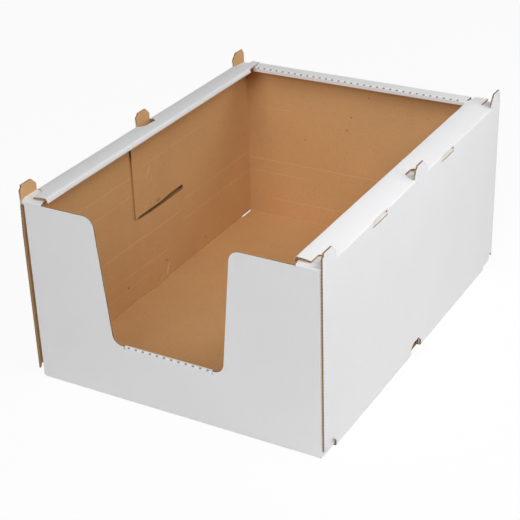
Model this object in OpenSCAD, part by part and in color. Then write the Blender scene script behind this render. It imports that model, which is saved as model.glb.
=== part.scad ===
// Corrugated shelf bin, folded from one die-cut blank.
// White liner outside, brown liner inside. The mouth is at -Y and the bin stands on z = 0.

/* [Board] */
// Thickness of the corrugated board
board_t = 1.8; // [1.4:0.1:2]
// Air left between two sheets that lie on each other
sheet_gap = 0.2; // [0.1:0.05:0.3]
// Inner radius of a creased fold
crease_r = 0.2; // [0.1:0.05:0.3]

/* [Bin] */
// Width over the two outer side panels
bin_w = 302; // [270:1:360]
// Depth from the front wall to the rear wall
bin_d = 400; // [380:1:480]
// Height of the outer edge of the side rims
rim_h = 184.6; // [170:0.2:240]
// Air between the right side panel and the flaps inside it
slack_right = 0.3; // [0.2:0.1:3]
// Air between the left side panel and the flaps inside it, which stands off
slack_left = 2.6; // [0.2:0.1:4]
// How far the top of the left side panel leans in
left_lean = 1.2; // [0:0.1:2]
// Height at which that lean starts
lean_z = 150; // [120:1:160]

/* [Mouth] */
// Sideways offset of the mouth
cut_shift = -3.7; // [-6:0.1:6]
// Width of the mouth at the top of the front wall
mouth_top_w = 137.4; // [110:0.2:170]
// Width of the mouth at the sill
mouth_sill_w = 114.4; // [105:0.2:150]
// Height of the sill
sill_h = 58.8; // [40:0.2:90]
// Radius of the mouth's corners
mouth_r = 10.5; // [5:0.5:16]
// Width of the strip that rolls over the sill
roll_w = 91.5; // [60:0.5:92]
// Distance between the two sheets of the sill, middle to middle
roll_step = 2.4; // [2.3:0.1:4]
// Gap cut at each end of that strip
roll_gap = 0.6; // [0.3:0.1:2]

/* [Side rim] */
// Width of the flange on top of each side
flange_w = 26.8; // [25:0.2:36]
// How far the flange springs up towards the inside
flange_rise = 4.3; // [2:0.1:5]
// How far the flange bows up between its two folds
flange_crown = 0.9; // [0.4:0.1:1.2]
// How far the lip leans inwards at its foot
lip_lean = 1.2; // [0.5:0.1:2]
// Distance from the front edge to the flange
flange_front = 4.5; // [2:0.5:10]
// Distance from the front edge to the return under the flange
return_front = 29; // [28:0.5:40]
// Distance from the rear edge to the end of the lip
lip_rear = 31; // [27.5:0.5:40]
// Distance from the rear edge to the end of the return
return_rear = 33; // [32:0.5:44]
// Length of the crease that lets the rear end of the flange down
tail_crease = 3.5; // [2:0.5:6]
// How far that crease lets it down
tail_drop = 1.6; // [0.5:0.1:2]
// Height over the rim at the rear edge of the flange, on its outside
tail_outside = 0.7; // [0.5:0.1:1.5]
// Height over the rim at the rear edge of the flange, on its inside
tail_inside = 0.4; // [0.3:0.1:1.5]
// How much the right flange narrows towards its rear edge
taper_right = 0.4; // [0.2:0.1:6]
// How much the left flange narrows towards its rear edge
taper_left = 5; // [0.2:0.1:6]

/* [Rear rim] */
// Sideways offset of the rear rim
rear_shift = -3.6; // [-4:0.1:-2]
// Height of the rear rim
rear_h = 185; // [172:0.2:240]
// Width of the rear rim
rear_rim_w = 248; // [200:1:250]
// Depth of the rear rim
rear_rim_d = 15.5; // [10:0.5:22]
// Height of the lip that hangs from the rear rim
rear_lip_h = 5.1; // [4:0.1:10]

/* [Corner panels] */
// How far the fold of a front corner panel stands over the wall
front_lift = 1.2; // [0.2:0.1:1.4]
// How far a front corner panel springs up behind its fold
front_spring = 1.6; // [0.4:0.1:1.6]
// How far the fold of a rear corner panel stands over the wall
rear_lift = 0.2; // [0.1:0.1:0.4]
// How far a rear corner panel springs up behind its fold
rear_spring = 1.2; // [0.2:0.1:1.2]
// Depth over which a front corner panel springs up
front_run = 5; // [3:0.5:8]
// Depth over which a rear corner panel springs up
rear_run = 14; // [10:0.5:18]
// Distance from a corner panel to the end of the opening over it
corner_gap = 0.5; // [0.3:0.1:2]

/* [Stacking tabs] */
// Width of a stacking tab
tab_w = 23.2; // [18:0.2:26]
// Height of a stacking tab above the rim
tab_h = 13.4; // [8:0.2:16]
// Bevel on a corner tab's outer shoulder
tab_lead = 2.4; // [1.5:0.1:6]
// Height of the step over that bevel
tab_step = 2.2; // [1:0.1:3]
// Bevel on a tab's inner shoulder
tab_trail = 6.2; // [2:0.1:8]
// Middle of the middle tab along the side
mid_tab_y = -3.2; // [-20:0.2:20]
// Height of a stacking notch in the foot of a side panel
notch_h = 12.4; // [8:0.2:18]
// Clearance of a notch beside its tab
notch_play = 0.4; // [0.3:0.1:2]
// Depth of a corner notch into the base
corner_cut = 7.4; // [6:0.2:12]
// Depth of a middle notch into the base
mid_cut = 4.4; // [3:0.2:8]
// Height of the relief in the right flaps at their middle notch
relief_h = 13.2; // [3:0.2:20]

/* [Lock slots] */
// Length of a lock slot
slot_l = 29.6; // [20:0.2:36]
// Middle of the front lock slot along the side
slot_front_y = -90.4; // [-130:0.2:-70]
// Middle of the rear lock slot along the side
slot_rear_y = 61.8; // [56:0.2:120]
// Clearance around a lock tab in its slot
lock_play = 0.4; // [0.2:0.1:1]

/* [Flap interlock] */
// Height of the slit where the flaps cross
slit_z = 91.6; // [60:0.2:130]
// Height of the slit's opening
slit_h = 2.6; // [1:0.1:5]
// Front end of the slit
slit_front = -30; // [-45:0.5:-20]
// Rear end of the slit
slit_rear = 53.5; // [45:0.5:70]
// Front edge of the rear flap above the slit
upper_edge = -36; // [-60:0.5:-34]
// Foot of the front flap's slanted rear edge
lower_foot = 11; // [9:0.5:40]
// Length over which a flap steps from one layer to the next
step_l = 22; // [15:1:30]

/* [Perforation] */
// Pitch of the perforated creases
perf_pitch = 7.5; // [5:0.5:12]
// Length of one cut
perf_l = 3; // [1.5:0.5:4]
// Width of one cut
perf_w = 0.8; // [0.4:0.1:1]
// Number of cuts along the sill
sill_cuts = 12; // [4:1:12]
// Number of cuts along the rear rim
rear_cuts = 32; // [10:1:32]
// Sideways offset of the cuts from the middle of the rear rim
rear_cuts_shift = -1.5; // [-3:0.5:3]

/* [Hidden] */
kraft = [0.74, 0.56, 0.38];
arc_steps = 4;
curve_steps = 10;
crown_steps = 5;
soft_bend = 14;
eps = 0.01;
over = 5;

half_t = board_t / 2;
layer = board_t + sheet_gap;
fold_r = board_t + crease_r;
mid_r = crease_r + half_t;

face_x = bin_w / 2;
panel_x = face_x - half_t;
front_y = -bin_d / 2;
rear_y = bin_d / 2;

wall_w = bin_w - 2 * board_t - slack_right - slack_left;
wall_x = (slack_left - slack_right) / 2;
flap_a = wall_w / 2 - half_t;
flap_b = flap_a - layer;

flap_top = rim_h - 2 * layer;
post_top = rim_h - layer;
rim_z = rim_h - half_t;

lip_x = face_x - flange_w + half_t;
flange_slope = flange_rise / (panel_x - lip_x);
flange_tilt = atan(flange_slope);
layer_drop = layer / cos(flange_tilt);
// The opening in the flange is as deep as its tab is long, round the fold
window_d = tab_h - (2 - PI / 2) * fold_r;
window_x = face_x - window_d;
corner_in = lip_x + half_t + 2 * sheet_gap;
corner_d = tab_w - corner_gap;

slit_low = slit_z - slit_h / 2;
slit_high = slit_z + slit_h / 2;
// The hidden tongues stop just short of where the other flap steps across
front_tongue_end = upper_edge + 44;
rear_tongue_end = slit_front + step_l + 2;
upper_step = front_tongue_end + 4;

slot_foot = flange_z(face_x, 2) - half_t - lock_play;
slot_top = rim_h - board_t;

// Height of the middle of the flange, or of the nth sheet under it, at x
function flange_z(x, n = 0) = rim_z + (panel_x - x) * flange_slope - n * layer_drop;
// Height of the middle of the bowed flange itself
function bowed_z(x) =
    let (s = (panel_x - x) / (panel_x - lip_x))
    flange_z(x) + flange_crown * 4 * s * (1 - s);

function unit(v) = v / norm(v);
function left_of(v) = [-v[1], v[0]];
function turn(a, b) = atan2(a[0] * b[1] - a[1] * b[0], a * b);
function reversed(list) = [for (i = [len(list) - 1:-1:0]) list[i]];

// Arc round the corner at v, on the side that lies s to the left of the path
function corner_arc(p, v, n, s, r, steps) =
    let (
        d1 = unit(v - p),
        angle = turn(d1, unit(n - v)),
        side = sign(angle),
        centre = v - d1 * r * tan(abs(angle) / 2) + left_of(d1) * r * side,
        start = atan2(d1[1], d1[0]) - 90 * side
    )
    [for (i = [0:steps])
        let (a = start + angle * i / steps)
        centre + (r - side * s) * [cos(a), sin(a)]];

// A fold is rounded, and a soft bend is mitred
function bend(p, v, n, s) =
    let (
        d1 = unit(v - p),
        d2 = unit(n - v)
    )
    abs(turn(d1, d2)) < soft_bend
        ? [v + s * (left_of(d1) + left_of(d2)) / (1 + d1 * d2)]
        : corner_arc(p, v, n, s, mid_r, arc_steps);

// One face of a folded sheet, s to the left of its middle line
function sheet_side(path, s) =
    let (last = len(path) - 1)
    concat(
        [path[0] + left_of(unit(path[1] - path[0])) * s],
        [for (i = [1:1:last - 1])
            each bend(path[i - 1], path[i], path[i + 1], s)],
        [path[last] + left_of(unit(path[last] - path[last - 1])) * s]
    );

// Closed outline whose corners [x, y, r] are rounded by r
function rounded(pts) =
    [for (i = [0:len(pts) - 1])
        let (
            v = [pts[i][0], pts[i][1]],
            q = pts[(i + len(pts) - 1) % len(pts)],
            n = pts[(i + 1) % len(pts)]
        )
        each pts[i][2] > 0
            ? corner_arc([q[0], q[1]], v, [n[0], n[1]], 0, pts[i][2], curve_steps)
            : [v]];

// Outline of a stacking tab from its foot: lead bevels its start, with a step over it, and trail its end
function tab_outline(w, h, lead, step, trail) =
    rounded([
        [0, -fold_r, 0],
        [w, -fold_r, 0],
        [w, h - trail, 1.5],
        [w - trail, h, 1.5],
        [lead, h, 0.8],
        if (step > 0) [lead, h - step, 0],
        [0, h - step - lead, 0.8]
    ]);

// Section of a sheet folded along the path
module sheet(path) {
    polygon(concat(sheet_side(path, half_t), reversed(sheet_side(path, -half_t))));
}

// Section in X and Z, run from y0 to y1
module along_y(y0, y1) {
    translate([0, y1, 0]) rotate([90, 0, 0]) linear_extrude(y1 - y0) children();
}

// Section in Y and Z, run from x0 to x1
module along_x(x0, x1) {
    translate([x0, 0, 0]) rotate([90, 0, 90]) linear_extrude(x1 - x0) children();
}

module both_sides() {
    children();
    mirror([1, 0, 0]) children();
}

// Tab outlines of one side, placed along it: shift them down to make the notches
module tab_row(w, h, play) {
    corner = tab_outline(w + 2 * play, h, tab_lead, tab_step, tab_trail);
    translate([front_y - play, 0]) polygon(corner);
    translate([mid_tab_y - w / 2 - play, 0])
        polygon(tab_outline(w + 2 * play, h, (tab_lead + tab_trail) / 2, 0, tab_trail));
    translate([rear_y + play, 0]) mirror([1, 0]) polygon(corner);
}

module base_panel() {
    translate([-(face_x - fold_r), -(rear_y - fold_r), 0])
        cube([2 * (face_x - fold_r), 2 * (rear_y - fold_r), board_t]);
}

// Side panel, flange and lip, one sheet folded along the side, whose top leans in
function panel_path(lean) = [
    [face_x - 2 * fold_r, half_t],
    [panel_x, half_t],
    if (lean > 0) [panel_x, lean_z]
];
function flange_path(lean) = [
    [panel_x - lean, rim_z],
    for (i = [1:crown_steps - 1])
        let (x = panel_x + (lip_x - panel_x) * i / crown_steps)
        [x - lean, bowed_z(x)]
];
function lip_path(lean) =
    let (lip_foot = lip_x - lip_lean)
    [[lip_x - lean, flange_z(lip_x)], [lip_foot - lean, flange_z(lip_foot, 2)]];

module side_sheet(slack, lean) {
    return_end = face_x - board_t - slack - 2 * layer - sheet_gap;
    panel_only = concat(panel_path(lean), [[panel_x - lean, rim_h - fold_r]]);
    rim = concat(panel_path(lean), flange_path(lean));
    flange_only = concat(rim, [[face_x - flange_w - lean, bowed_z(face_x - flange_w)]]);
    with_lip = concat(rim, lip_path(lean));
    full = concat(with_lip, [[return_end, flange_z(return_end + lean, 2)]]);
    tail_y = rear_y - tab_w;
    along_y(front_y, front_y + flange_front) sheet(panel_only);
    along_y(front_y + flange_front, front_y + return_front) sheet(with_lip);
    along_y(front_y + return_front, rear_y - return_rear) sheet(full);
    along_y(rear_y - return_rear, rear_y - lip_rear) sheet(with_lip);
    along_y(rear_y - lip_rear, tail_y + crease_r) sheet(flange_only);
    along_y(tail_y + crease_r, rear_y) sheet(panel_only);
}

// End of the flange beside the rear tab, let down by a crease to the height of the rear rim
module flange_tail(taper) {
    outside = window_x - sheet_gap / 2;
    inside = face_x - flange_w;
    y = rear_y - tab_w;
    cuts = [
        [y, bowed_z(outside), inside, bowed_z(inside)],
        [y + tail_crease, bowed_z(outside) - tail_drop, inside + taper / 2, bowed_z(inside) - tail_drop],
        [rear_y - eps, rim_z + tail_outside, inside + taper, rim_z + tail_inside]
    ];
    for (i = [0:1])
        hull()
            for (c = [cuts[i], cuts[i + 1]])
                along_y(c[0], c[0] + eps) sheet([[outside, c[1]], [c[2], c[3]]]);
}

// Windows that the tabs leave in the flange: their outlines laid flat, cut down to just below it
module tab_windows() {
    shallow = half_t + sheet_gap / 2;
    near = face_x - fold_r;
    intersection() {
        translate([face_x, 0, rim_h - fold_r]) linear_extrude(3 * over)
            rotate(90) tab_row(tab_w, window_d, 0);
        along_y(front_y - over, rear_y + over)
            polygon(concat(
                [
                    [near, rim_h - fold_r],
                    [face_x + over, rim_h - fold_r],
                    [face_x + over, rim_h + 2 * over],
                    [lip_x, rim_h + 2 * over]
                ],
                [for (i = [0:crown_steps])
                    let (x = lip_x + (near - lip_x) * i / crown_steps)
                    [x, bowed_z(x) - shallow]]
            ));
    }
}

module lock_slots() {
    for (y = [slot_front_y, slot_rear_y]) {
        translate([face_x - board_t - crease_r, y - slot_l / 2, slot_foot])
            cube([over, slot_l, slot_top - slot_foot]);
        translate([face_x - half_t, y - slot_l / 2, slot_top - eps])
            cube([over, slot_l, over]);
    }
}

module lock_tabs(slack, lean) {
    inner = face_x - board_t - slack - 2 * layer - over + lean;
    outer = face_x - lock_play;
    for (y = [slot_front_y, slot_rear_y])
        along_y(y - slot_l / 2 + lock_play, y + slot_l / 2 - lock_play)
            sheet([[inner, flange_z(inner, 2)], [outer, flange_z(outer, 2)]]);
}

module stacking_tabs() {
    along_x(face_x - board_t, face_x) translate([0, rim_h]) tab_row(tab_w, tab_h, 0);
}

module stacking_notches() {
    corner_l = tab_w + notch_play;
    along_x(face_x - 2 * fold_r, face_x + over) tab_row(tab_w, notch_h, notch_play);
    for (y = [front_y - over, rear_y - corner_l])
        translate([face_x - corner_cut, y, -over])
            cube([corner_cut + over, corner_l + over, over + board_t + eps]);
    translate([face_x - mid_cut, mid_tab_y - tab_w / 2 - notch_play, -over])
        cube([mid_cut + over, tab_w + 2 * notch_play, over + board_t + eps]);
}

module side(slack, lean, taper) {
    difference() {
        side_sheet(slack, lean);
        translate([-lean, 0, 0]) {
            tab_windows();
            lock_slots();
        }
    }
    translate([-lean, 0, 0]) {
        flange_tail(taper);
        stacking_tabs();
        lock_tabs(slack, lean);
    }
}

// Wall and its two flaps: half of the plan outline is given, the other half is its mirror
module wrap(half_path, z0, z1) {
    path = concat([for (p = reversed(half_path)) [-p[0], p[1]]], half_path);
    translate([wall_x, 0, z0]) linear_extrude(z1 - z0) sheet(path);
}

module wall_foot(y, into) {
    along_x(wall_x - wall_w / 2 + fold_r, wall_x + wall_w / 2 - fold_r)
        sheet([
            [y + into * 2 * fold_r, half_t],
            [y + into * half_t, half_t],
            [y + into * half_t, fold_r]
        ]);
}

// Corner panel folded in from the top of a wall, from x0 to x1, which springs up behind its fold
module corner_panel(x0, x1, y, into, lift, spring, run) {
    fold_z = post_top + lift - half_t;
    along_x(x0, x1)
        sheet([
            [y + into * half_t, flap_top],
            [y + into * half_t, fold_z],
            [y + into * (half_t + run), fold_z + spring],
            [y + into * corner_d, fold_z + spring]
        ]);
}

// The two corner panels of a wall: the rim or the posts between them end at x0 and x1
module corner_panels(x0, x1, y, into, lift, spring, run) {
    reach = face_x - board_t - sheet_gap;
    corner_panel(left_lean - reach, x0 - sheet_gap, y, into, lift, spring, run);
    corner_panel(x1 + sheet_gap, reach, y, into, lift, spring, run);
}

// Inward flange on top of a flap, under the rim flange
module under_flange(x, y0, y1) {
    face = x + half_t;
    inner = lip_x + 2 * board_t;
    for (s = [-1, 1]) {
        px = s > 0 ? wall_x + x : x - wall_x;
        mirror([s > 0 ? 0 : 1, 0, 0]) along_y(y0, y1)
            sheet([
                [px, flap_top],
                [px, flange_z(px, 1)],
                [inner, flange_z(inner, 1)]
            ]);
    }
}

module flap_slots() {
    for (y = [slot_front_y, slot_rear_y])
        both_sides()
            translate([flap_b - 2 * layer, y - slot_l / 2, slot_foot])
                cube([
                    face_x - board_t - flap_b + 2 * layer,
                    slot_l,
                    flange_z(face_x, 1) - half_t - slot_foot + eps
                ]);
}

module flap_reliefs() {
    along_x(0, face_x - board_t)
        polygon(rounded([
            [mid_tab_y - tab_w / 2, 0, 0],
            [lower_foot - 4, 0, 0],
            [lower_foot - 4, relief_h, 2],
            [mid_tab_y - tab_w / 2, relief_h, 2]
        ]));
}

// Cut that slants the rear edge of the front flap under the slit
module lower_slant() {
    run = (slit_rear - lower_foot) / slit_z;
    along_x(-face_x, face_x)
        polygon([
            [lower_foot - run * over, -over],
            [slit_rear + run * slit_h, slit_z + slit_h],
            [rear_y, slit_z + slit_h],
            [rear_y, -over]
        ]);
}

module mouth() {
    top = mouth_top_w / 2;
    sill = mouth_sill_w / 2;
    margin = 25;
    translate([cut_shift, 0, 0]) along_y(front_y - over, front_y + over)
        polygon(rounded([
            [-top - margin, post_top + over, 0],
            [-top - margin, post_top, 0],
            [-top, post_top, mouth_r],
            [-sill, sill_h, mouth_r],
            [sill, sill_h, mouth_r],
            [top, post_top, mouth_r],
            [top + margin, post_top, 0],
            [top + margin, post_top + over, 0]
        ]));
}

// Room for the roll and for the gaps at its ends
module roll_room() {
    width = roll_w + 2 * roll_gap;
    translate([cut_shift - width / 2, front_y - over, sill_h - 2 * board_t])
        cube([width, 2 * over, over]);
}

// Strip that rolls over the sill and stands on the base behind the front wall
module sill_roll() {
    outer = front_y + half_t;
    inner = outer + roll_step;
    difference() {
        translate([cut_shift, 0, 0]) along_x(-roll_w / 2, roll_w / 2)
            sheet([
                [outer, sill_h - 4 * board_t],
                [outer, sill_h - half_t],
                [inner, sill_h - half_t],
                [inner, fold_r]
            ]);
        translate([cut_shift, front_y, sill_h]) perforation(sill_cuts, 45);
    }
}

// Row of short cuts through a crease
module perforation(count, angle) {
    for (i = [0:count - 1])
        translate([(i - (count - 1) / 2) * perf_pitch, 0, 0]) rotate([angle, 0, 0])
            cube([perf_l, 5 * board_t, perf_w], center = true);
}

module front_wall() {
    y = front_y + half_t;
    difference() {
        union() {
            difference() {
                wrap([
                    [flap_a, y],
                    [flap_a, slit_front],
                    [flap_b, slit_front + step_l],
                    [flap_b, slit_rear + over]
                ], fold_r, slit_low);
                lower_slant();
                flap_reliefs();
            }
            wrap([[flap_a, y], [flap_a, slit_front]], slit_low, slit_high);
            wrap([[flap_a, y], [flap_a, front_tongue_end]], slit_high, flap_top);
            translate([-corner_in, front_y, flap_top - eps])
                cube([2 * corner_in, board_t, layer + eps]);
        }
        mouth();
        roll_room();
        flap_slots();
    }
    difference() {
        under_flange(flap_a, front_y + return_front + over, upper_edge - over);
        flap_slots();
    }
    wall_foot(front_y, 1);
    corner_panels(-corner_in, corner_in, front_y, 1, front_lift, front_spring, front_run);
    sill_roll();
}

module rear_rim() {
    outer = rear_y - half_t;
    lip = rear_y - rear_rim_d + half_t;
    difference() {
        translate([rear_shift, 0, 0]) along_x(-rear_rim_w / 2, rear_rim_w / 2)
            sheet([
                [outer, flap_top],
                [outer, rear_h - half_t],
                [lip, rear_h - half_t],
                [lip, rear_h - rear_lip_h]
            ]);
        translate([rear_shift + rear_cuts_shift, rear_y - rear_rim_d, rear_h]) perforation(rear_cuts, 45);
    }
}

module rear_wall() {
    y = rear_y - half_t;
    left = rear_shift - rear_rim_w / 2 - sheet_gap;
    right = rear_shift + rear_rim_w / 2 + sheet_gap;
    difference() {
        union() {
            difference() {
                wrap([[flap_a, y], [flap_a, rear_tongue_end]], fold_r, slit_low);
                flap_reliefs();
            }
            wrap([[flap_a, y], [flap_a, slit_rear]], slit_low, slit_high);
            wrap([[flap_a, y], [flap_a, upper_step + step_l], [flap_b, upper_step], [flap_b, upper_edge]],
                slit_high, flap_top);
        }
        flap_slots();
    }
    difference() {
        union() {
            under_flange(flap_a, upper_step + step_l + 2, rear_y - return_rear);
            under_flange(flap_b, upper_edge, upper_step - 2);
        }
        flap_slots();
    }
    wall_foot(rear_y, -1);
    corner_panels(left, right, rear_y, -1, rear_lift, rear_spring, rear_run);
    rear_rim();
}

module folded_blank() {
    color(kraft) {
        difference() {
            union() {
                base_panel();
                side(slack_right, 0, taper_right);
                mirror([1, 0, 0]) side(slack_left, left_lean, taper_left);
            }
            both_sides() stacking_notches();
        }
        front_wall();
        rear_wall();
    }
}

folded_blank();
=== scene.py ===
"""Corrugated shelf bin: dresses the folded blank and sets it in a plain studio."""

import logging
import math
from collections.abc import Mapping
from dataclasses import dataclass
from enum import Enum
from typing import Optional, Union

import bmesh
import bpy
from mathutils import Matrix, Vector


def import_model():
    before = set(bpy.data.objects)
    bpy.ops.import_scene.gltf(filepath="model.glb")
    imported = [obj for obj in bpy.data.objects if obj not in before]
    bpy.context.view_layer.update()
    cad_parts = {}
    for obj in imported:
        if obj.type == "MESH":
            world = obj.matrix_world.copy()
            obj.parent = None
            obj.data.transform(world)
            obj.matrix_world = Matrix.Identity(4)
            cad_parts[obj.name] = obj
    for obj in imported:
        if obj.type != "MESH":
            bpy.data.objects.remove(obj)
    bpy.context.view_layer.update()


LOG = logging.getLogger("shelf_bin")

Colour = tuple[float, float, float]
Socket = bpy.types.NodeSocket
Sockets = Mapping[str, Socket]
Place = tuple[Socket, Socket, Socket]
Value = Union[float, Socket]
Tint = Union[Colour, Socket]

FLOAT = "NodeSocketFloat"
VECTOR = "NodeSocketVector"
# The sockets of a Mix node for its factor and two colours, and for their mix.
MIX_INPUTS = (0, 6, 7)
MIX_OUTPUT = 2
# The flutes' pitch and the length over which a press line fades out, in metres.
FLUTE_PITCH = 0.0032
LINE_FADE = 0.004
BUMP_STRENGTH = 0.5


class Ply(Enum):
    """What a face of the board shows."""

    WHITE = 0
    KRAFT = 1
    EDGE = 2


class NodeDesk:
    """Adds nodes to one tree and links them."""

    def __init__(self, tree: bpy.types.NodeTree) -> None:
        """Keeps the tree that the nodes go into.

        Args:
            tree: The tree of a material, a world or a group.
        """
        self.tree = tree

    def add(self, kind: str, **settings: object) -> bpy.types.Node:
        """Adds one node.

        Args:
            kind: The node's type name in Blender.
            settings: Properties to set on it.

        Returns:
            The new node.
        """
        node = self.tree.nodes.new(kind)
        for name, value in settings.items():
            setattr(node, name, value)
        return node

    def feed(self, socket: Socket, value: object) -> None:
        """Links a socket, or sets its constant.

        Args:
            socket: The input.
            value: Another node's output, or a constant.
        """
        if isinstance(value, bpy.types.NodeSocket):
            self.tree.links.new(value, socket)
        elif isinstance(value, tuple) and len(value) == 3 and socket.type == "RGBA":
            socket.default_value = (*value, 1.0)
        else:
            socket.default_value = value

    def math(self, operation: str, *values: Value, clamp: bool = False) -> Socket:
        """Adds a Math node.

        Args:
            operation: The operation's name.
            values: One value for each of its inputs.
            clamp: Whether the result is kept from 0 to 1.

        Returns:
            The result.
        """
        node = self.add("ShaderNodeMath", operation=operation, use_clamp=clamp)
        for socket, value in zip(node.inputs, values):
            self.feed(socket, value)
        return node.outputs[0]

    def hypotenuse(self, first: Value, second: Value) -> Socket:
        """Joins two distances that are at right angles.

        Args:
            first: One distance.
            second: The other distance.

        Returns:
            The distance straight across.
        """
        squares = [self.math("POWER", side, 2.0) for side in (first, second)]
        return self.math("SQRT", self.math("ADD", *squares))

    def ramp(
        self,
        value: Value,
        low: float,
        high: float,
        start: float = 0.0,
        end: float = 1.0,
    ) -> Socket:
        """Maps a value smoothly from one range to another.

        Args:
            value: The value to map.
            low: Where the result starts to change.
            high: Where it has changed.
            start: The result up to low.
            end: The result from high on.

        Returns:
            The mapped value.
        """
        kind = "ShaderNodeMapRange"
        node = self.add(kind, interpolation_type="SMOOTHSTEP", clamp=True)
        for socket, number in zip(node.inputs, (value, low, high, start, end)):
            self.feed(socket, number)
        return node.outputs[0]

    def mix(
        self, factor: Value, first: Tint, second: Tint, blend: str = "MIX"
    ) -> Socket:
        """Mixes two colours.

        Args:
            factor: How much of the second.
            first: The colour underneath.
            second: The colour on top.
            blend: The blending mode.

        Returns:
            The mixed colour.
        """
        kind = "ShaderNodeMix"
        node = self.add(kind, data_type="RGBA", blend_type=blend, clamp_factor=True)
        for index, value in zip(MIX_INPUTS, (factor, first, second)):
            self.feed(node.inputs[index], value)
        return node.outputs[MIX_OUTPUT]

    def noise(
        self, vector: Socket, scale: Value, detail: float, roughness: float = 0.5
    ) -> Socket:
        """Adds a Noise Texture.

        Args:
            vector: The coordinates.
            scale: Cells to the metre.
            detail: Octaves.
            roughness: How strong the finer octaves are.

        Returns:
            The noise, about 0.5 on average.
        """
        node = self.add("ShaderNodeTexNoise")
        for name, value in (
            ("Vector", vector),
            ("Scale", scale),
            ("Detail", detail),
            ("Roughness", roughness),
        ):
            self.feed(node.inputs[name], value)
        return node.outputs["Fac"]

    def split(self, vector: Socket) -> Place:
        """Takes a vector apart.

        Args:
            vector: The vector.

        Returns:
            Its x, y and z.
        """
        node = self.add("ShaderNodeSeparateXYZ")
        self.feed(node.inputs[0], vector)
        x, y, z = node.outputs
        return x, y, z

    def group(self, tree: bpy.types.NodeTree, **inputs: object) -> bpy.types.Node:
        """Places a node group.

        Args:
            tree: The group.
            inputs: Values for its inputs, with spaces as underscores.

        Returns:
            The group's node.
        """
        node = self.add("ShaderNodeGroup", node_tree=tree)
        for name, value in inputs.items():
            self.feed(node.inputs[name.replace("_", " ")], value)
        return node


def new_group(
    name: str, inputs: dict[str, tuple[str, object]], outputs: dict[str, str]
) -> tuple[NodeDesk, Sockets, Sockets]:
    """Starts a shader node group.

    Args:
        name: The group's name.
        inputs: Each input's type and default, by name.
        outputs: Each output's type, by name.

    Returns:
        The group's desk, its inputs and its outputs.
    """
    tree = bpy.data.node_groups.new(name, "ShaderNodeTree")
    for label, (kind, default) in inputs.items():
        socket = tree.interface.new_socket(label, in_out="INPUT", socket_type=kind)
        if default is not None:
            socket.default_value = default
    for label, kind in outputs.items():
        tree.interface.new_socket(label, in_out="OUTPUT", socket_type=kind)
    desk = NodeDesk(tree)
    source = desk.add("NodeGroupInput")
    sink = desk.add("NodeGroupOutput")
    return desk, source.outputs, sink.inputs


def paper_group() -> bpy.types.NodeTree:
    """Builds the group for the tone and grain of a liner.

    Returns:
        The group: Cloud is the broad tone, Grain the fibre and Speck the dark flecks.
    """
    desk, given, out = new_group(
        "liner paper",
        {
            "Vector": (VECTOR, None),
            "Cloud Size": (FLOAT, 0.05),
            "Fibre Size": (FLOAT, 0.0012),
        },
        {"Cloud": FLOAT, "Grain": FLOAT, "Speck": FLOAT},
    )
    vector = given["Vector"]
    per_cloud = desk.math("DIVIDE", 1.0, given["Cloud Size"])
    per_fibre = desk.math("DIVIDE", 1.0, given["Fibre Size"])
    speck = desk.noise(vector, desk.math("MULTIPLY", per_fibre, 0.6), 1.0)
    desk.feed(out["Cloud"], desk.noise(vector, per_cloud, 3.0))
    desk.feed(out["Grain"], desk.noise(vector, per_fibre, 3.0, 0.65))
    desk.feed(out["Speck"], desk.ramp(speck, 0.62, 0.74))
    return desk.tree


def washboard_group() -> bpy.types.NodeTree:
    """Builds the group for the flutes that show through a liner.

    Returns:
        The group: Wave runs from 0 in a valley to 1 on a flute.
    """
    desk, given, out = new_group(
        "washboard",
        {"Across": (FLOAT, 0.0), "Pitch": (FLOAT, FLUTE_PITCH)},
        {"Wave": FLOAT},
    )
    turns = desk.math("DIVIDE", given["Across"], given["Pitch"])
    wave = desk.math("SINE", desk.math("MULTIPLY", turns, 2.0 * math.pi))
    desk.feed(out["Wave"], desk.math("MULTIPLY_ADD", wave, 0.5, 0.5))
    return desk.tree


def score_group() -> bpy.types.NodeTree:
    """Builds the group for one straight score or press line.

    Returns:
        The group: Mask is 1 on the line, from Start to End along it.
    """
    desk, given, out = new_group(
        "score line",
        {
            "Across": (FLOAT, 0.0),
            "Centre": (FLOAT, 0.0),
            "Width": (FLOAT, 0.001),
            "Along": (FLOAT, 0.0),
            "Start": (FLOAT, -1.0),
            "End": (FLOAT, 1.0),
        },
        {"Mask": FLOAT},
    )
    off = desk.math("ABSOLUTE", desk.math("SUBTRACT", given["Across"], given["Centre"]))
    line = desk.ramp(desk.math("DIVIDE", off, given["Width"]), 0.2, 1.0, 1.0, 0.0)
    from_start = desk.math("SUBTRACT", given["Along"], given["Start"])
    to_end = desk.math("SUBTRACT", given["End"], given["Along"])
    after = desk.ramp(from_start, 0.0, LINE_FADE)
    before = desk.ramp(to_end, 0.0, LINE_FADE)
    ends = desk.math("MULTIPLY", after, before)
    desk.feed(out["Mask"], desk.math("MULTIPLY", line, ends))
    return desk.tree


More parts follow.
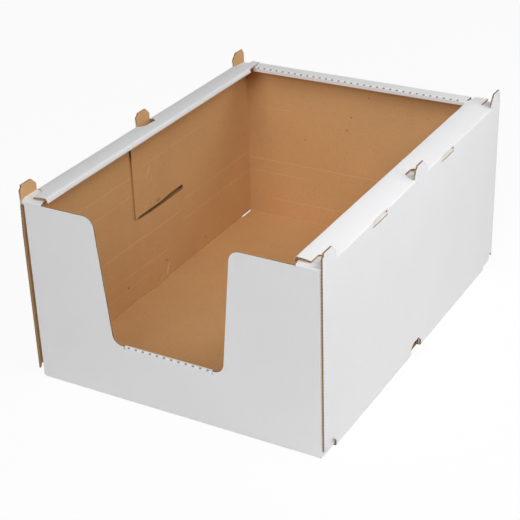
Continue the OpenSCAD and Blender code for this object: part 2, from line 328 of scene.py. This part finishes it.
def dent_group() -> bpy.types.NodeTree:
    """Builds the group for one oval mark, such as a dimple, a scuff, a gouge or a patch
    of painted shade.

    Returns:
        The group: Mask is 1 in the middle of the mark and 0 outside it.
    """
    desk, given, out = new_group(
        "dent",
        {
            "Along": (FLOAT, 0.0),
            "Up": (FLOAT, 0.0),
            "Centre Along": (FLOAT, 0.0),
            "Centre Up": (FLOAT, 0.0),
            "Half Length": (FLOAT, 0.01),
            "Half Width": (FLOAT, 0.001),
            "Tilt": (FLOAT, 0.0),
            "Softness": (FLOAT, 0.5),
        },
        {"Mask": FLOAT},
    )
    along = desk.math("SUBTRACT", given["Along"], given["Centre Along"])
    up = desk.math("SUBTRACT", given["Up"], given["Centre Up"])
    cosine = desk.math("COSINE", given["Tilt"])
    sine = desk.math("SINE", given["Tilt"])
    length = desk.math("MULTIPLY_ADD", along, cosine, desk.math("MULTIPLY", up, sine))
    lift = desk.math("MULTIPLY", up, cosine)
    width = desk.math("SUBTRACT", lift, desk.math("MULTIPLY", along, sine))
    reach = desk.hypotenuse(
        desk.math("DIVIDE", length, given["Half Length"]),
        desk.math("DIVIDE", width, given["Half Width"]),
    )
    inner = desk.math("SUBTRACT", 1.0, given["Softness"])
    fade = desk.math("DIVIDE", desk.math("SUBTRACT", reach, inner), given["Softness"])
    desk.feed(out["Mask"], desk.ramp(fade, 0.0, 1.0, 1.0, 0.0))
    return desk.tree


@dataclass
class Groups:
    """The shader node groups that the finishes share."""

    paper: bpy.types.NodeTree
    washboard: bpy.types.NodeTree
    score: bpy.types.NodeTree
    dent: bpy.types.NodeTree

    @classmethod
    def build(cls) -> "Groups":
        """Builds each group once.

        Returns:
            The groups.
        """
        return cls(paper_group(), washboard_group(), score_group(), dent_group())


class Wall(Enum):
    """A wall that marks lie on."""

    LEFT = "left"
    REAR = "rear"


@dataclass(frozen=True)
class Crease:
    """A perforated crease along X: its place, middle and half length, in metres."""

    y: float
    z: float
    middle: float
    half_length: float


@dataclass(frozen=True)
class PressLine:
    """A straight line pressed into a wall, in metres; a negative one is a dark line of
    painted shade.
    """

    wall: Wall
    height: float
    start: float
    end: float
    strength: float = 0.5
    width: float = 0.0005


@dataclass(frozen=True)
class Dent:
    """An oval mark: its middle along and up the wall, its half sizes and its tone; a
    negative tone paints shade.
    """

    wall: Wall
    along: float
    up: float
    half_length: float
    half_width: float
    tilt: float = 0.0
    tone: float = -0.3
    softness: float = 0.6


@dataclass(frozen=True)
class Look:
    """How the paper and the flutes of a finish show.

    Attributes:
        cloud_size: The size of the paper's clouds, in metres.
        fibre_size: The size of its fibres, in metres.
        roughness: The shader's roughness.
        specular: The shader's specular level.
        base: The tone under the clouds.
        cloud: How much the clouds add to the tone.
        grain: How much the fibre changes the tone.
        wave: How much the flutes change the tone.
        wave_height: How high the flutes stand, as a share of the relief.
        grain_height: How high the fibre stands, as a share of the relief.
        relief: The depth of the relief, in metres.
    """

    cloud_size: float
    fibre_size: float
    roughness: float
    specular: float
    base: float = 1.0
    cloud: float = 0.0
    grain: float = 0.0
    wave: float = 0.0
    wave_height: float = 0.0
    grain_height: float = 0.0
    relief: float = 0.0


class Finish:
    """A material on a Principled BSDF, with the nodes that every ply starts from."""

    def __init__(self, name: str, groups: Groups, look: Look) -> None:
        """Starts the material.

        Args:
            name: The material's name.
            groups: The shared node groups.
            look: How its paper and flutes show.
        """
        self.groups = groups
        self.look = look
        self.material = bpy.data.materials.new(name)
        self.material.use_nodes = True
        tree = self.material.node_tree
        self.shader = next(n for n in tree.nodes if n.type == "BSDF_PRINCIPLED")
        self.desk = NodeDesk(tree)
        self.where = self.desk.add("ShaderNodeTexCoord").outputs["Object"]
        sheet = self.desk.add("ShaderNodeUVMap", uv_map=FoldedBlank.MAP)
        across, self.through, _ = self.desk.split(sheet.outputs[0])
        self.paper: Sockets = self.desk.group(
            groups.paper,
            Vector=self.where,
            Cloud_Size=look.cloud_size,
            Fibre_Size=look.fibre_size,
        ).outputs
        board = self.desk.group(groups.washboard, Across=across, Pitch=FLUTE_PITCH)
        self.wave = board.outputs["Wave"]

    def tone(self) -> Socket:
        """Adds up the tone of the clouds, the fibre and the flutes.

        Returns:
            The factor for the colour at each point.
        """
        desk, look = self.desk, self.look
        tone = desk.math("MULTIPLY_ADD", self.paper["Cloud"], look.cloud, look.base)
        for value, depth in ((self.paper["Grain"], look.grain), (self.wave, look.wave)):
            part = desk.math("MULTIPLY_ADD", value, depth, -0.5 * depth)
            tone = desk.math("ADD", tone, part)
        return tone

    def height(self) -> Socket:
        """Adds up the height of the flutes and the fibre.

        Returns:
            The height at each point.
        """
        desk, look = self.desk, self.look
        grain = desk.math("MULTIPLY", self.paper["Grain"], look.grain_height)
        return desk.math("MULTIPLY_ADD", self.wave, look.wave_height, grain)

    def close(
        self, paint: Socket, height: Optional[Socket] = None
    ) -> bpy.types.Material:
        """Feeds the shader.

        Args:
            paint: The base colour.
            height: The height at each point, where the finish has relief.

        Returns:
            The finished material.
        """
        desk, inputs = self.desk, self.shader.inputs
        desk.feed(inputs["Base Color"], paint)
        desk.feed(inputs["Roughness"], self.look.roughness)
        desk.feed(inputs["Specular IOR Level"], self.look.specular)
        if height is not None:
            bump = desk.add("ShaderNodeBump")
            desk.feed(bump.inputs["Strength"], BUMP_STRENGTH)
            desk.feed(bump.inputs["Distance"], self.look.relief)
            desk.feed(bump.inputs["Height"], height)
            desk.feed(inputs["Normal"], bump.outputs[0])
        return self.material


@dataclass(frozen=True)
class WhiteLiner:
    """The bleached liner on the outside of the board."""

    colour: Colour = (0.80, 0.80, 0.81)
    # Brown board of the perforation cuts, darkened as painted shade inside them.
    cut_board_and_shade: Colour = (0.26, 0.20, 0.15)
    look: Look = Look(
        cloud_size=0.07,
        fibre_size=0.0016,
        roughness=0.62,
        specular=0.35,
        base=0.955,
        cloud=0.05,
        grain=0.05,
        wave=0.012,
        wave_height=0.4,
        grain_height=0.25,
        relief=0.00006,
    )
    cut_pitch: float = 0.0075
    cut_share: float = 0.36
    cut_width: float = 0.0017
    creases: tuple[Crease, ...] = (
        Crease(0.1845, 0.1850, -0.0051, 0.12),
        Crease(-0.2000, 0.0588, -0.0037, 0.045),
    )

    def build(self, groups: Groups) -> bpy.types.Material:
        """Builds the finish.

        Args:
            groups: The shared node groups.

        Returns:
            The material.
        """
        finish = Finish("white liner", groups, self.look)
        desk = finish.desk
        paint = desk.mix(1.0, self.colour, finish.tone(), "MULTIPLY")
        # The perforation cuts: brown board with painted shade inside.
        paint = desk.mix(self.perforate(desk, finish.where), paint, self.cut_board_and_shade)
        return finish.close(paint, finish.height())

    def perforate(self, desk: NodeDesk, where: Socket) -> Socket:
        """Darkens the short cuts of the perforated creases, whose board shows brown,
        with painted shade inside the cuts.

        Args:
            desk: The material's desk.
            where: The coordinates.

        Returns:
            How much of the cuts shows at each point.
        """
        x, y, z = desk.split(where)
        wide, share = self.cut_width, self.cut_share
        total: Value = 0.0
        for crease in self.creases:
            start = crease.middle - crease.half_length
            end = crease.middle + crease.half_length
            back = desk.math("SUBTRACT", y, crease.y)
            off = desk.hypotenuse(back, desk.math("SUBTRACT", z, crease.z))
            near = desk.ramp(off, 0.5 * wide, wide, 1.0, 0.0)
            steps = desk.math("DIVIDE", desk.math("SUBTRACT", x, start), self.cut_pitch)
            apart = desk.math("SUBTRACT", desk.math("FRACT", steps), 0.5)
            apart = desk.math("ABSOLUTE", apart)
            dash = desk.ramp(apart, 0.3 * share, 0.6 * share, 1.0, 0.0)
            after = desk.math("GREATER_THAN", x, start)
            inside = desk.math("MULTIPLY", after, desk.math("LESS_THAN", x, end))
            shown = desk.math("MULTIPLY", desk.math("MULTIPLY", near, dash), inside)
            total = desk.math("MAXIMUM", total, shown)
        return total


@dataclass(frozen=True)
class KraftLiner:
    """The brown liner inside the board, with its press lines, marks of handling and
    painted shade in its dents, gaps and the opening between the flaps.
    """

    colour: Colour = (0.62, 0.36, 0.160)
    dark: Colour = (0.36, 0.20, 0.095)
    light: Colour = (0.86, 0.60, 0.36)
    # Painted shade, for the dark dents, the gap along the tongue's edge and the opening
    # between the flaps.
    shadow: Colour = (0.03, 0.016, 0.008)
    look: Look = Look(
        cloud_size=0.06,
        fibre_size=0.0014,
        roughness=0.72,
        specular=0.3,
        base=0.92,
        cloud=0.16,
        grain=0.22,
        wave=0.03,
        wave_height=0.5,
        grain_height=0.4,
        relief=0.00008,
    )
    speck_share: float = 0.3
    line_depth: float = 1.5
    left_x: float = -0.135
    rear_y: float = 0.190
    floor_z: float = 0.006
    lines: tuple[PressLine, ...] = (
        PressLine(Wall.LEFT, 0.1395, -0.200, -0.036, 0.6),
        PressLine(Wall.LEFT, 0.1195, -0.200, -0.034, 0.45),
        PressLine(Wall.LEFT, 0.0672, -0.200, 0.052, 0.7),
        PressLine(Wall.LEFT, 0.0532, 0.052, 0.198, 0.55),
        PressLine(Wall.LEFT, 0.0760, 0.056, 0.198, 0.35, 0.0007),
        PressLine(Wall.LEFT, 0.0350, -0.150, 0.020, 0.3, 0.0008),
        PressLine(Wall.LEFT, 0.1450, -0.020, 0.100, 0.25, 0.0008),
        PressLine(Wall.LEFT, 0.0215, -0.140, 0.000, 0.2, 0.0008),
        # Not pressed: a dark band of painted shade in the narrow opening between the
        # crossed flaps.
        PressLine(Wall.LEFT, 0.0920, -0.0325, 0.0575, -1.0, 0.0031),
        PressLine(Wall.REAR, 0.0700, -0.146, 0.060, 0.5, 0.0006),
        PressLine(Wall.REAR, 0.0545, -0.146, -0.060, 0.4, 0.0006),
        PressLine(Wall.REAR, 0.0228, -0.118, -0.010, 0.35, 0.0006),
        PressLine(Wall.REAR, 0.1340, -0.130, -0.090, 0.2, 0.0008),
    )
    # Marks with a negative tone are painted shade in dimples, gaps and at the wall's
    # foot.
    dents: tuple[Dent, ...] = (
        Dent(Wall.LEFT, -0.0087, 0.1352, 0.0085, 0.0011, 1.02, 0.6, 0.7),
        Dent(Wall.LEFT, -0.0037, 0.1257, 0.0060, 0.0008, 1.146, 0.35, 0.7),
        # A dark line of painted shade in the gap along the rear flap's tongue edge.
        Dent(Wall.LEFT, -0.0362, 0.1700, 0.0220, 0.0007, 1.571, -0.7, 0.7),
        Dent(Wall.LEFT, 0.0133, 0.0232, 0.0022, 0.0016, 0.0, -0.6),
        Dent(Wall.LEFT, -0.0555, 0.0232, 0.0022, 0.0016, 0.0, -0.5),
        Dent(Wall.LEFT, 0.0960, 0.0130, 0.0020, 0.0020, 0.0, -0.35),
        Dent(Wall.LEFT, 0.0060, 0.0975, 0.0060, 0.0030, 0.0, -0.35, 0.9),
        Dent(Wall.LEFT, -0.0180, 0.0990, 0.0070, 0.0012, 0.35, 0.35, 0.8),
        Dent(Wall.LEFT, -0.0120, 0.1040, 0.0060, 0.0010, 0.30, 0.25, 0.8),
        Dent(Wall.LEFT, 0.0165, 0.0110, 0.0100, 0.0038, 1.15, 0.45, 0.35),
        Dent(Wall.LEFT, 0.0020, 0.0060, 0.0085, 0.0040, 0.5, 0.22, 0.3),
        Dent(Wall.LEFT, -0.0010, 0.0065, 0.0105, 0.0060, 0.5, -0.09, 0.3),
        Dent(Wall.LEFT, 0.0120, 0.0020, 0.0036, 0.0026, 0.4, -1.0, 0.5),
        Dent(Wall.REAR, -0.0150, 0.1390, 0.0017, 0.0014, 0.0, -0.5),
        Dent(Wall.REAR, -0.0720, 0.1030, 0.0017, 0.0014, 0.0, -0.4),
        Dent(Wall.REAR, -0.0205, 0.1230, 0.0030, 0.0025, 0.0, -0.25, 0.9),
        Dent(Wall.REAR, 0.0060, 0.1650, 0.0015, 0.0013, 0.0, -0.4),
    )

    def build(self, groups: Groups) -> bpy.types.Material:
        """Builds the finish.

        Args:
            groups: The shared node groups.

        Returns:
            The material.
        """
        finish = Finish("kraft liner", groups, self.look)
        desk = finish.desk
        place = desk.split(finish.where)
        walls = self.find_walls(desk, place)
        pressed, slit_shade = self.press(finish, place, walls)
        bright, dent_shade = self.mark(finish, place, walls)
        speck = desk.math("MULTIPLY", finish.paper["Speck"], self.speck_share)
        paint = desk.mix(speck, self.colour, self.dark)
        paint = desk.mix(desk.math("MAXIMUM", pressed, bright), paint, self.light)
        # Painted shade: the opening between the flaps and the dark dents take the
        # shadow colour.
        paint = desk.mix(desk.math("MAXIMUM", dent_shade, slit_shade), paint, self.shadow)
        paint = desk.mix(1.0, paint, finish.tone(), "MULTIPLY")
        sunk = desk.math("MULTIPLY", pressed, self.line_depth)
        return finish.close(paint, desk.math("SUBTRACT", finish.height(), sunk))

    def find_walls(self, desk: NodeDesk, place: Place) -> dict[Wall, Socket]:
        """Makes a mask for each wall that has marks.

        Args:
            desk: The material's desk.
            place: The coordinates, taken apart.

        Returns:
            The masks.
        """
        x, y, z = place
        above = desk.math("SUBTRACT", 1.0, desk.math("LESS_THAN", z, self.floor_z))
        left = desk.math("LESS_THAN", x, self.left_x)
        rear = desk.math("GREATER_THAN", y, self.rear_y)
        return {
            Wall.LEFT: desk.math("MULTIPLY", left, above),
            Wall.REAR: desk.math("MULTIPLY", rear, above),
        }

    def along(self, wall: Wall, place: Place) -> Socket:
        """Gives the coordinate that runs along a wall."""
        return place[0] if wall is Wall.REAR else place[1]

    def gather(
        self, desk: NodeDesk, marks: list[tuple[Socket, Socket, float]]
    ) -> tuple[Value, Value]:
        """Joins marks into a light mask and a mask of painted shade, by the sign of
        their strength.

        Args:
            desk: The material's desk.
            marks: Each mark's mask, its wall's mask and its strength.

        Returns:
            How strong the light marks and the painted shade are at each point.
        """
        light: Value = 0.0
        dark: Value = 0.0
        for mask, wall, strength in marks:
            share = desk.math("MULTIPLY", wall, abs(strength))
            shown = desk.math("MULTIPLY", mask, share)
            if strength > 0.0:
                light = desk.math("MAXIMUM", light, shown)
            else:
                dark = desk.math("MAXIMUM", dark, shown)
        return light, dark

    def press(
        self, finish: Finish, place: Place, walls: dict[Wall, Socket]
    ) -> tuple[Socket, Value]:
        """Draws the press lines, which come and go along their length, and the painted
        shade in the narrow opening between the crossed flaps.

        Args:
            finish: The finish that is built.
            place: The coordinates, taken apart.
            walls: The walls' masks.

        Returns:
            How strong the light lines and the painted shade of that opening are at each
            point.
        """
        desk = finish.desk
        marks = []
        for line in self.lines:
            score = desk.group(
                finish.groups.score,
                Across=place[2],
                Centre=line.height,
                Width=line.width,
                Along=self.along(line.wall, place),
                Start=line.start,
                End=line.end,
            )
            marks.append((score.outputs[0], walls[line.wall], line.strength))
        light, slit_shade = self.gather(desk, marks)
        fade = desk.ramp(finish.paper["Cloud"], 0.3, 0.65, 0.45, 1.0)
        return desk.math("MULTIPLY", light, fade), slit_shade

    def mark(
        self, finish: Finish, place: Place, walls: dict[Wall, Socket]
    ) -> tuple[Value, Value]:
        """Draws the dents, the dark ones as painted shade.

        Args:
            finish: The finish that is built.
            place: The coordinates, taken apart.
            walls: The walls' masks.

        Returns:
            How strong the light marks and the painted shade of the dark ones are at
            each point.
        """
        desk = finish.desk
        marks = []
        for dent in self.dents:
            oval = desk.group(
                finish.groups.dent,
                Along=self.along(dent.wall, place),
                Up=place[2],
                Centre_Along=dent.along,
                Centre_Up=dent.up,
                Half_Length=dent.half_length,
                Half_Width=dent.half_width,
                Tilt=dent.tilt,
                Softness=dent.softness,
            )
            marks.append((oval.outputs[0], walls[dent.wall], dent.tone))
        return self.gather(desk, marks)


@dataclass(frozen=True)
class CutEdge:
    """The cut edge of the board, with its fluted core between two liners; the hollows
    between the flutes are painted shade.
    """

    paper: Colour = (0.50, 0.32, 0.17)
    # Painted shade in the hollows between the flutes.
    hollow_shade: Colour = (0.17, 0.095, 0.045)
    white: Colour = (0.78, 0.76, 0.73)
    look: Look = Look(cloud_size=0.01, fibre_size=0.0007, roughness=0.9, specular=0.15)
    liner_share: float = 0.1
    core_share: float = 0.11
    core_low: float = 0.17
    core_rise: float = 0.66
    core_stray: float = 0.3
    grain: float = 0.5

    def build(self, groups: Groups) -> bpy.types.Material:
        """Builds the finish.

        Args:
            groups: The shared node groups.

        Returns:
            The material.
        """
        finish = Finish("cut edge", groups, self.look)
        desk, paper, through = finish.desk, finish.paper, finish.through
        liner, thread, stray = self.liner_share, self.core_share, self.core_stray
        rough = desk.math("MULTIPLY_ADD", paper["Cloud"], stray, -0.5 * stray)
        core = desk.math("MULTIPLY_ADD", finish.wave, self.core_rise, self.core_low)
        core = desk.math("ADD", core, rough)
        off = desk.math("ABSOLUTE", desk.math("SUBTRACT", through, core))
        medium = desk.ramp(off, thread, thread * 1.8, 1.0, 0.0)
        brown = desk.ramp(through, 1.0 - liner * 1.5, 1.0 - liner)
        bleached = desk.ramp(through, liner * 0.6, liner * 1.2, 1.0, 0.0)
        solid = desk.math("MAXIMUM", medium, brown)
        # Board where the flutes and the liners are, painted shade in the hollows
        # between them.
        paint = desk.mix(solid, self.hollow_shade, self.paper)
        paint = desk.mix(bleached, paint, self.white)
        grain, half = self.grain, 0.5 * self.grain
        tone = desk.math("MULTIPLY_ADD", paper["Grain"], grain, 1.0 - half)
        return finish.close(desk.mix(1.0, paint, tone, "MULTIPLY"))


@dataclass
class FoldedBlank:
    """The bin itself, one folded sheet, whose faces are liners and cut edges."""

    MAP = "sheet"

    node: str = "folded_blank"
    board_t: float = 0.0018
    sharp_deg: float = 40.0
    sheet_area: float = 0.004
    weld: float = 1e-6
    strip_width: float = 0.0012
    lean: float = 0.5
    flap_x: tuple[float, float] = (0.1415, 0.1475)
    slit_z: float = 0.0895
    flange_z: float = 0.184
    rim_z: float = 0.178
    tab_z: float = 0.183
    tab_x: float = 0.1475
    panel_x: float = 0.149
    wall_y: float = 0.1957
    rear_rim_y: float = 0.184
    rear_rim_x: float = 0.128

    def dress(self, finishes: dict[Ply, bpy.types.Material]) -> bpy.types.Object:
        """Gives each face its finish.

        Args:
            finishes: The material of each ply.

        Returns:
            The dressed CAD node.
        """
        blank = bpy.data.objects[self.node]
        shape = bmesh.new()
        shape.from_mesh(blank.data)
        shape.faces.ensure_lookup_table()
        number = shape.faces.layers.int.new("number")
        for face in shape.faces:
            face[number] = face.index
        bmesh.ops.remove_doubles(shape, verts=shape.verts, dist=self.weld)
        plies = self.sort_faces(shape, number)
        blank.data.materials.clear()
        for ply in Ply:
            blank.data.materials.append(finishes[ply])
        for polygon in blank.data.polygons:
            polygon.material_index = plies.get(polygon.index, Ply.EDGE).value
        self.lay_map(blank.data, shape, number, plies)
        shape.free()
        return blank

    def sort_faces(
        self, shape: bmesh.types.BMesh, number: bmesh.types.BMLayerItem
    ) -> dict[int, Ply]:
        """Tells which ply each face shows, by spreading over smooth edges.

        Args:
            shape: The welded shape.
            number: The layer with each face's number in the CAD mesh.

        Returns:
            The ply of each face, by its number.
        """
        limit = math.radians(self.sharp_deg)
        plies: dict[int, Ply] = {}
        seen: set[bmesh.types.BMFace] = set()
        for seed in shape.faces:
            if seed in seen:
                continue
            patch = [seed]
            seen.add(seed)
            for face in patch:
                beside = (other for edge in face.edges for other in edge.link_faces)
                for other in beside:
                    turn = face.normal.angle(other.normal, math.pi)
                    if other not in seen and turn < limit:
                        seen.add(other)
                        patch.append(other)
            ply = self.ply_of(patch)
            for face in patch:
                crushed = ply is Ply.EDGE and self.is_crushed(face.calc_center_median())
                plies[face[number]] = Ply.KRAFT if crushed else ply
        return plies

    def is_crushed(self, centre: Vector) -> bool:
        """Tells whether a cut edge is pressed shut between the crossed flaps."""
        between = self.flap_x[0] < abs(centre.x) < self.flap_x[1]
        return between and self.slit_z < centre.z < self.rim_z

    def ply_of(self, patch: list[bmesh.types.BMFace]) -> Ply:
        """Names the ply of a smooth patch of faces.

        Args:
            patch: The faces.

        Returns:
            The ply that it shows.
        """
        area = sum(face.calc_area() for face in patch)
        if area >= self.sheet_area:
            low = min(patch, key=lambda face: face.calc_center_median().z)
            return Ply.WHITE if low.normal.z < -self.lean else Ply.KRAFT
        inside = set(patch)
        outline = sum(
            edge.calc_length()
            for face in patch
            for edge in face.edges
            if any(other not in inside for other in edge.link_faces)
        )
        if area < self.strip_width * outline:
            return Ply.EDGE
        normals = (face.normal * face.calc_area() for face in patch)
        facing = sum(normals, Vector()) / area
        centres = (face.calc_center_median() for face in patch)
        middle = sum(centres, Vector()) / len(patch)
        if facing.z > self.lean:
            return Ply.WHITE if middle.z > self.flange_z else Ply.KRAFT
        inwards = facing.x * middle.x < -self.lean * abs(middle.x)
        return Ply.KRAFT if inwards else Ply.WHITE

    def across(self, centre: Vector, point: Vector) -> float:
        """Gives a point's place across the flutes of the flat blank.

        Args:
            centre: The middle of the face that the point belongs to.
            point: The point.

        Returns:
            The distance across the flutes, in metres.
        """
        width = abs(centre.x)
        side = width > (self.tab_x if centre.z > self.tab_z else self.panel_x)
        rear_rim = width < self.rear_rim_x and centre.y > self.rear_rim_y
        rim = centre.z > self.rim_z and not rear_rim
        if abs(centre.y) > self.wall_y and not side:
            return point.x
        if side or rim:
            return abs(point.x) + point.z
        if centre.z > self.rim_z or centre.z < 2 * self.board_t:
            return point.x
        return point.y

    def lay_map(
        self,
        mesh: bpy.types.Mesh,
        shape: bmesh.types.BMesh,
        number: bmesh.types.BMLayerItem,
        plies: dict[int, Ply],
    ) -> None:
        """Lays a map over the sheet: across the flutes, and through the board.

        Args:
            mesh: The CAD mesh.
            shape: The welded shape.
            number: The layer with each face's number in the CAD mesh.
            plies: The ply of each face, by its number.
        """
        layer = mesh.uv_layers.new(name=self.MAP)
        depth: dict[tuple[int, ...], float] = {}
        for vert in shape.verts:
            shown = {plies[face[number]] for face in vert.link_faces}
            key = self.key(vert.co)
            if Ply.WHITE in shown and Ply.KRAFT in shown:
                depth[key] = 0.5
            else:
                depth[key] = 1.0 if Ply.KRAFT in shown else 0.0
        for polygon in mesh.polygons:
            for loop in polygon.loop_indices:
                point = mesh.vertices[mesh.loops[loop].vertex_index].co
                layer.data[loop].uv = (
                    self.across(polygon.center, point),
                    depth.get(self.key(point), 0.5),
                )

    def key(self, point: Vector) -> tuple[int, ...]:
        """Rounds a point to the grid on which the shape is welded."""
        return tuple(round(value / (10 * self.weld)) for value in point)


@dataclass(frozen=True)
class PhotoCamera:
    """The photograph's camera, with angles in degrees and its place in metres."""

    azimuth: float = 29.938
    elevation: float = 27.958
    roll: float = -1.927
    place: tuple[float, float, float] = (0.57667, -1.03776, 0.69356)
    focal_px: float = 1353.0
    frame_px: float = 520.0
    sensor_mm: float = 36.0
    clip: tuple[float, float] = (0.01, 50.0)

    def build(self) -> bpy.types.Object:
        """Adds the camera and makes it the scene's.

        Returns:
            The camera's object.
        """
        degrees = (self.azimuth, self.elevation, self.roll)
        azimuth, elevation, roll = map(math.radians, degrees)
        ahead = Vector(
            (
                -math.sin(azimuth) * math.cos(elevation),
                math.cos(azimuth) * math.cos(elevation),
                -math.sin(elevation),
            )
        )
        right = Vector((math.cos(azimuth), math.sin(azimuth), 0.0))
        up = right.cross(ahead)
        turned_right = math.cos(roll) * right + math.sin(roll) * up
        turned_up = -math.sin(roll) * right + math.cos(roll) * up
        lens = bpy.data.cameras.new("photo camera")
        lens.sensor_width = self.sensor_mm
        lens.lens = self.focal_px * self.sensor_mm / self.frame_px
        lens.clip_start, lens.clip_end = self.clip
        camera = bpy.data.objects.new("photo camera", lens)
        bpy.context.scene.collection.objects.link(camera)
        turn = Matrix((turned_right, turned_up, -ahead)).transposed().to_4x4()
        camera.matrix_world = Matrix.Translation(self.place) @ turn
        bpy.context.scene.camera = camera
        return camera


@dataclass(frozen=True)
class Softbox:
    """One square lamp that looks at a point of the bin."""

    name: str
    place: tuple[float, float, float]
    watts: float
    width: float
    target: tuple[float, float, float] = (0.0, 0.0, 0.1)

    def build(self) -> bpy.types.Object:
        """Adds the lamp.

        Returns:
            The lamp's object.
        """
        light = bpy.data.lights.new(self.name, "AREA")
        light.energy = self.watts
        light.size = self.width
        lamp = bpy.data.objects.new(self.name, light)
        bpy.context.scene.collection.objects.link(lamp)
        aim = Vector(self.target) - Vector(self.place)
        turn = aim.to_track_quat("-Z", "Y").to_matrix().to_4x4()
        lamp.matrix_world = Matrix.Translation(self.place) @ turn
        return lamp


@dataclass(frozen=True)
class Studio:
    """A plain pale floor, even light all round and large soft lamps."""

    floor_width: float = 12.0
    floor_gap: float = 0.0002
    floor_colour: Colour = (0.85, 0.85, 0.85)
    floor_glow: float = 0.93
    ambient: float = 0.10
    lamps: tuple[Softbox, ...] = (
        Softbox("front", (0.4, -4.0, 2.4), 82.0, 2.0),
        Softbox("high front", (0.5, -1.1, 1.8), 4.6, 1.0),
        Softbox("rear right", (1.1, 0.7, 0.9), 4.2, 0.6),
        Softbox("near right", (0.55, -0.20, 0.8), 3.4, 0.4),
        Softbox("low right", (1.6, 0.1, 0.25), 2.6, 1.0),
        Softbox("rear", (0.3, 1.9, 1.4), 4.6, 1.4),
        Softbox("left", (-1.9, -0.3, 1.3), 2.0, 1.4),
    )

    def build(self) -> None:
        """Builds the floor, the world and the lamps."""
        bpy.context.scene.view_settings.view_transform = "Standard"
        self.build_world()
        self.build_floor()
        for lamp in self.lamps:
            lamp.build()

    def seen_directly(self, desk: NodeDesk) -> Socket:
        """Gives 1 for rays that show the backdrop and 0 for rays that light the bin.

        Args:
            desk: The desk of the tree that needs it.

        Returns:
            The mask.
        """
        path = desk.add("ShaderNodeLightPath").outputs
        mask = desk.math("MAXIMUM", path["Is Camera Ray"], path["Is Glossy Ray"])
        return desk.math("MAXIMUM", mask, path["Is Transmission Ray"])

    def build_world(self) -> None:
        """Makes the world white to the camera and even light to the bin."""
        world = bpy.data.worlds.new("studio")
        world.use_nodes = True
        bpy.context.scene.world = world
        desk = NodeDesk(world.node_tree)
        back = world.node_tree.nodes["Background"]
        desk.feed(back.inputs["Color"], (1.0, 1.0, 1.0))
        seen = self.seen_directly(desk)
        light = desk.math("MULTIPLY_ADD", seen, 1.0 - self.ambient, self.ambient)
        desk.feed(back.inputs["Strength"], light)

    def build_floor(self) -> None:
        """Lays the floor, which keeps a faint shadow."""
        bpy.ops.object.select_all(action="DESELECT")
        middle = (0.0, 0.0, -self.floor_gap)
        bpy.ops.mesh.primitive_plane_add(size=self.floor_width, location=middle)
        floor = bpy.context.active_object
        floor.name = "floor"
        material = bpy.data.materials.new("pale floor")
        material.use_nodes = True
        desk = NodeDesk(material.node_tree)
        material.node_tree.nodes.clear()
        matt = desk.add("ShaderNodeBsdfDiffuse")
        desk.feed(matt.inputs["Color"], self.floor_colour)
        glow = desk.add("ShaderNodeEmission")
        desk.feed(glow.inputs["Strength"], 1.0)
        blend = desk.add("ShaderNodeMixShader")
        share = desk.math("MULTIPLY", self.seen_directly(desk), self.floor_glow)
        desk.feed(blend.inputs[0], share)
        desk.feed(blend.inputs[1], matt.outputs[0])
        desk.feed(blend.inputs[2], glow.outputs[0])
        sink = desk.add("ShaderNodeOutputMaterial")
        desk.feed(sink.inputs["Surface"], blend.outputs[0])
        floor.data.materials.append(material)


def main() -> None:
    """Loads the frame, dresses the bin and builds the studio."""
    logging.basicConfig(level=logging.INFO, format="%(name)s: %(message)s")
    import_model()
    groups = Groups.build()
    finishes = {
        Ply.WHITE: WhiteLiner().build(groups),
        Ply.KRAFT: KraftLiner().build(groups),
        Ply.EDGE: CutEdge().build(groups),
    }
    blank = FoldedBlank().dress(finishes)
    shown = [polygon.material_index for polygon in blank.data.polygons]
    counts = [shown.count(ply.value) for ply in Ply]
    LOG.info("%s: %s faces of white, kraft and edge", blank.name, counts)
    PhotoCamera().build()
    Studio().build()


if __name__ == "__main__":
    main()
